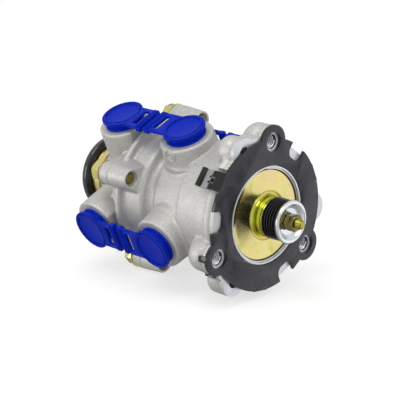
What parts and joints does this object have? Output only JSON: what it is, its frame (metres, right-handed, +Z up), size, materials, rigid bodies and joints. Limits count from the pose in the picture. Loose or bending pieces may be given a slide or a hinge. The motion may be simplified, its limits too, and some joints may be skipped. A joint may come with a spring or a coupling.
{
  "type": "foot brake valve",
  "caption": "Dual-circuit pneumatic foot brake valve: a cast alloy body with plugged side ports, a dark face plate, a bellowed plunger and a round exhaust cover.",
  "frame": {"origin": "centre of the front casing's mounting face, on the plunger's axis", "axes": "+X along the plunger out of the valve towards the pedal, +Z up as pictured, +Y to the far side"},
  "size_m": [0.1873, 0.121, 0.1172],
  "materials": {
    "cast_alloy": "sand-grained casting with paler machined faces",
    "dark_plate": "dark grey moulded, matt",
    "yellow_chromate": "yellow chromate over zinc, iridescent",
    "bright_zinc": "bright blue-white zinc",
    "spring_steel": "plain bright steel",
    "black_rubber": "black, slightly glossy",
    "blue_plastic": "deep blue moulded",
    "piston_alloy": "turned and anodised",
    "valve_rubber": "moulded black"
  },
  "bodies": {
    "root": {"front_casing": "cast_alloy", "rear_casing": "cast_alloy", "casing_screws": "yellow_chromate", "face_plate": "dark_plate", "cover_disc": "yellow_chromate", "cover_snap_ring": "spring_steel", "bellows": "black_rubber", "primary_return_spring": "spring_steel", "primary_valve_spring": "spring_steel", "primary_valve_guide": "piston_alloy", "primary_guide_ring": "spring_steel", "relay_return_spring": "spring_steel", "casing_seal": "black_rubber", "secondary_valve_spring": "spring_steel", "secondary_valve_guide": "piston_alloy", "secondary_guide_ring": "spring_steel", "exhaust_cover": "yellow_chromate", "exhaust_edge_ring": "black_rubber", "exhaust_flap": "black_rubber", "port_plug_left_front": "blue_plastic", "port_plug_left_rear": "blue_plastic", "port_plug_top_front": "blue_plastic", "port_plug_top_rear": "blue_plastic", "port_plug_right_front": "blue_plastic", "port_plug_right_rear": "blue_plastic"},
    "plunger": {"plunger_cup": "bright_zinc", "spring_plate": "bright_zinc", "graduating_spring": "spring_steel"},
    "primary_piston": {"primary_piston": "piston_alloy", "primary_piston_seal": "black_rubber", "adjuster_stud": "yellow_chromate", "adjuster_nut": "yellow_chromate"},
    "primary_valve": {"primary_valve": "valve_rubber"},
    "relay_piston": {"relay_piston": "piston_alloy", "relay_piston_seal": "black_rubber"},
    "secondary_valve": {"secondary_valve": "valve_rubber"}
  },
  "joints": [
    {"name": "plunger_slide", "type": "slide", "parent": "root", "child": "plunger", "axis": [-1, 0, 0], "range_m": [0, 0.008], "stiffness_N_per_m": 5000, "springref_m": -0.02, "deforming": ["bellows", "graduating_spring"]},
    {"name": "primary_piston_slide", "type": "slide", "parent": "root", "child": "primary_piston", "axis": [-1, 0, 0], "range_m": [0, 0.00362], "deforming": ["primary_return_spring"]},
    {"name": "primary_valve_slide", "type": "slide", "parent": "root", "child": "primary_valve", "axis": [-1, 0, 0], "range_m": [0, 0.00202], "deforming": ["primary_valve_spring"]},
    {"name": "relay_piston_slide", "type": "slide", "parent": "root", "child": "relay_piston", "axis": [-1, 0, 0], "range_m": [0, 0.00322], "deforming": ["relay_return_spring"]},
    {"name": "secondary_valve_slide", "type": "slide", "parent": "root", "child": "secondary_valve", "axis": [-1, 0, 0], "range_m": [0, 0.00182], "deforming": ["secondary_valve_spring"]}
  ],
  "couplings": [
    {"joint": "primary_piston_slide", "follows": "plunger_slide", "ratio": 0.45},
    {"joint": "primary_valve_slide", "follows": "plunger_slide", "ratio": 0.25},
    {"joint": "relay_piston_slide", "follows": "plunger_slide", "ratio": 0.4},
    {"joint": "secondary_valve_slide", "follows": "plunger_slide", "ratio": 0.225}
  ]
}
